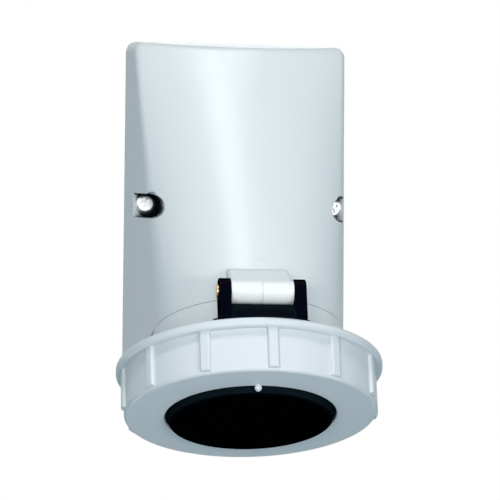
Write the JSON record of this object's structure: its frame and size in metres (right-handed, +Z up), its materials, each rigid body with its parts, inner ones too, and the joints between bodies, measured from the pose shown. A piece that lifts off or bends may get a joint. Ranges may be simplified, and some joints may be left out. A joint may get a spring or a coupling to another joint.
{
  "type": "industrial wall socket",
  "caption": "Surface-mounted industrial wall socket with a sloping hollow cover, an angled round outlet, a spring-closed hinged lid and a bayonet locking ring.",
  "frame": {"origin": "centre of the flat back face that lies on the wall", "axes": "+Y into the wall, +Z up, +X to the viewer's right; the outlet points down and leans 18 degrees forward"},
  "size_m": [0.114, 0.1183, 0.1875],
  "materials": {
    "housing_grey": "satin moulded plastic, light cool grey",
    "ring_grey": "satin moulded plastic, light cool grey",
    "lid_black": "glossy black moulded plastic",
    "insert_black": "matt black thermoset",
    "rubber_black": "soft black rubber",
    "brass": "turned brass",
    "bush_white": "plain bearing plastic",
    "screw_steel": "bright zinc-plated steel"
  },
  "bodies": {
    "housing": {"back_box": "housing_grey", "box_gasket": "rubber_black", "entry_grommet": "rubber_black", "front_cover": "housing_grey", "cover_screw_left": "screw_steel", "cover_screw_right": "screw_steel", "outlet_collar": "housing_grey", "collar_gasket": "rubber_black", "clamp_ring": "insert_black", "collar_screw_1": "screw_steel", "collar_screw_2": "screw_steel", "collar_screw_3": "screw_steel", "collar_screw_4": "screw_steel", "insert_front": "insert_black", "insert_rear": "insert_black", "insert_screw_1": "screw_steel", "insert_screw_2": "screw_steel", "hinge_bush": "bush_white", "hinge_spring": "screw_steel", "contact_earth": "brass", "contact_l1": "brass", "contact_l2": "brass", "contact_l3": "brass", "contact_n": "brass", "contact_pilot": "brass", "terminal_screw_earth": "screw_steel", "terminal_screw_l1": "screw_steel", "terminal_screw_l2": "screw_steel", "terminal_screw_l3": "screw_steel", "terminal_screw_n": "screw_steel", "terminal_screw_pilot": "screw_steel"},
    "lid": {"lid": "lid_black", "lid_gasket": "rubber_black", "hinge_pin": "brass"},
    "ring": {"bayonet_ring": "ring_grey"}
  },
  "joints": [
    {"name": "lid_hinge", "type": "hinge", "parent": "housing", "child": "lid", "pos_m": [0, -0.1006, -0.04475], "axis": [-1, 0, 0], "range_deg": [0, 115], "stiffness_Nm_per_rad": 0.04, "springref_deg": -143.24},
    {"name": "ring_turn", "type": "hinge", "parent": "lid", "child": "ring", "pos_m": [0, -0.06243, -0.0826], "axis": [0, 0.309, 0.9511], "range_deg": [0, 35]}
  ]
}
